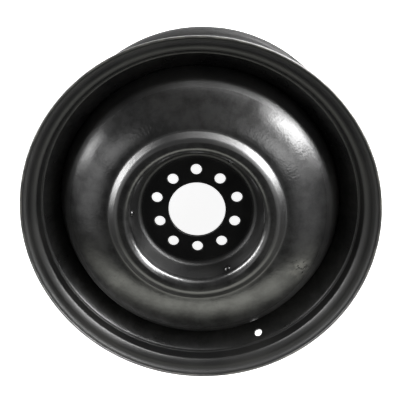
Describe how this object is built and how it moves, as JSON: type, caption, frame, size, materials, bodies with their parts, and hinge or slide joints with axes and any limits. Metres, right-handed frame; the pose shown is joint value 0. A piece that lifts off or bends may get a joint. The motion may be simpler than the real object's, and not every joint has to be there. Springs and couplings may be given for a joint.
{
  "type": "steel wheel rim",
  "caption": "Pressed-steel road wheel: a rolled drop-centre rim with curled flanges, welded around a domed disc with a bowl, a centre bore and bolt circles, painted satin black.",
  "frame": {"origin": "the wheel's centre: on its axis, halfway between the two flange lips", "axes": "+Z along the wheel's axis towards the street side; the wheel lies on its rear flange with the street side up; +Y through a hole of the outer bolt circle"},
  "size_m": [0.4969, 0.497, 0.226],
  "materials": {
    "black_paint": "satin black paint"
  },
  "bodies": {
    "root": {"rim": "black_paint", "disc": "black_paint", "weld_beads": "black_paint"}
  },
  "joints": []
}
